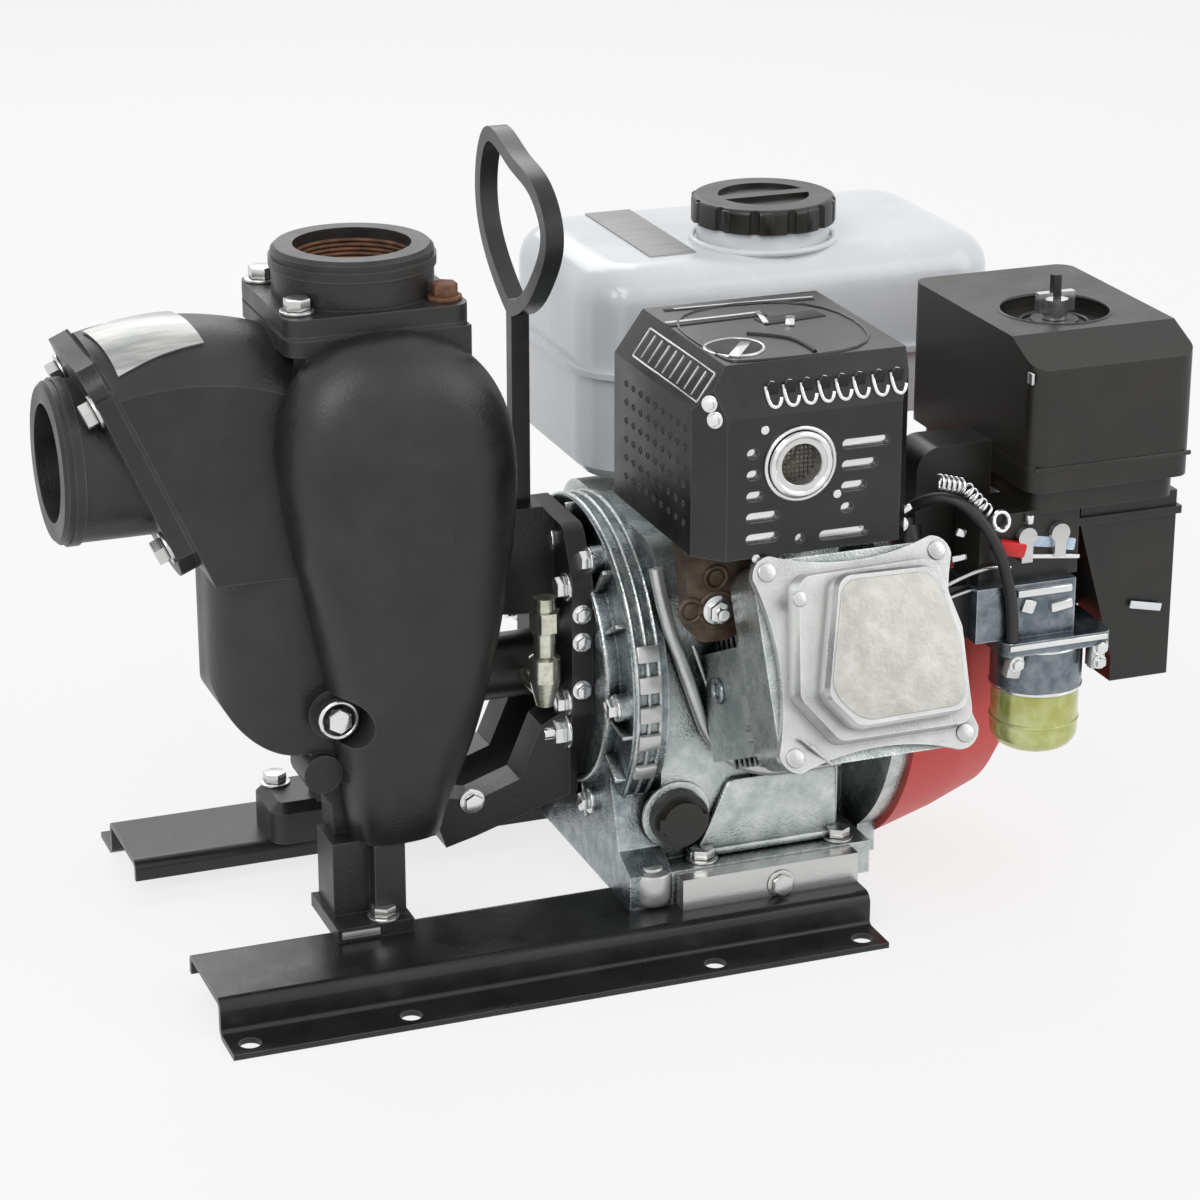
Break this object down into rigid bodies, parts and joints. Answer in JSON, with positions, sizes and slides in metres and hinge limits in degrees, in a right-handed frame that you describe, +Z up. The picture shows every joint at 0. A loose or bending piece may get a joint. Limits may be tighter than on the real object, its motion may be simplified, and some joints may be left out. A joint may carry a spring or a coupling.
{
  "type": "engine-driven water pump",
  "caption": "Self-priming centrifugal water pump close-coupled to a small air-cooled petrol engine, on two steel base rails with a lifting handle.",
  "frame": {"origin": "on the floor plane, at the centre of the pattern of the four outer slots, midway between the two base rails and at their mid-length", "axes": "+Z up; +X along the shaft from the pump inlet towards the starter side of the engine; -Y towards the side with the cylinder head, muffler and air cleaner"},
  "size_m": [0.5375, 0.3709, 0.4027],
  "materials": {
    "bare_steel": "plated",
    "black_cast_iron": "painted, satin",
    "black_plastic": "moulded, satin",
    "black_steel": "painted, gloss",
    "brass": "plated",
    "brown_steel": "heat-stained",
    "engine_alloy": "cast, satin",
    "fan_red": "painted, gloss",
    "gasket_grey": "matt",
    "rubber_black": "matt",
    "tank_white": "painted, gloss"
  },
  "bodies": {
    "pump_set": {"air_cleaner_base": "black_plastic", "air_cleaner_cover": "black_plastic", "air_duct": "black_plastic", "bowl_body": "engine_alloy", "carburettor": "engine_alloy", "casing_plug": "bare_steel", "cleaner_elbow": "black_plastic", "control_box": "black_plastic", "crankcase": "engine_alloy", "crankcase_cover": "engine_alloy", "cylinder": "engine_alloy", "cylinder_head": "engine_alloy", "discharge_chamber": "black_cast_iron", "discharge_flange": "black_cast_iron", "discharge_gasket": "gasket_grey", "drain_fitting": "brass", "engine_mount_bar": "bare_steel", "exhaust_flange": "brown_steel", "fan_housing": "fan_red", "float_bowl": "brass", "flywheel_shroud": "engine_alloy", "front_rail": "black_steel", "fuel_tank": "tank_white", "ignition_lead": "rubber_black", "inlet_flange": "black_cast_iron", "inlet_gasket": "gasket_grey", "intake_spacer": "black_plastic", "lift_handle": "black_steel", "muffler": "bare_steel", "muffler_guard": "black_steel", "pump_adaptor": "black_cast_iron", "pump_casing": "black_cast_iron", "pump_front_foot": "black_cast_iron", "pump_rear_foot": "black_cast_iron", "rear_mount_bar": "bare_steel", "rear_rail": "black_steel", "recoil_starter": "fan_red", "rocker_cover": "engine_alloy", "spark_plug_cap": "rubber_black", "starter_grip": "black_plastic", "tank_bracket": "black_steel"},
    "fuel_cap": {"fuel_cap": "black_plastic"},
    "oil_cap": {"oil_filler_cap": "black_plastic"},
    "wing_nut": {"wing_nut": "bare_steel"},
    "choke": {"choke_lever": "bare_steel"},
    "fuel_valve": {"fuel_valve_lever": "bare_steel"}
  },
  "joints": [
    {"name": "fuel_cap_turn", "type": "hinge", "parent": "pump_set", "child": "fuel_cap", "pos_m": [0.182, 0.062, 0.3323], "axis": [0, 0, 1], "range_deg": [0, 90]},
    {"name": "oil_cap_turn", "type": "hinge", "parent": "pump_set", "child": "oil_cap", "pos_m": [0.08, -0.0743, 0.062], "axis": [0, -1, 0], "range_deg": [0, 360]},
    {"name": "wing_nut_turn", "type": "hinge", "parent": "pump_set", "child": "wing_nut", "pos_m": [0.271, -0.098, 0.31163], "axis": [0, 0, 1], "range_deg": [0, 360]},
    {"name": "choke_turn", "type": "hinge", "parent": "pump_set", "child": "choke", "pos_m": [0.232, -0.1503, 0.219], "axis": [0, -1, 0], "range_deg": [-50, 0]},
    {"name": "fuel_valve_turn", "type": "hinge", "parent": "pump_set", "child": "fuel_valve", "pos_m": [0.25, -0.1503, 0.219], "axis": [0, -1, 0], "range_deg": [0, 50]}
  ]
}
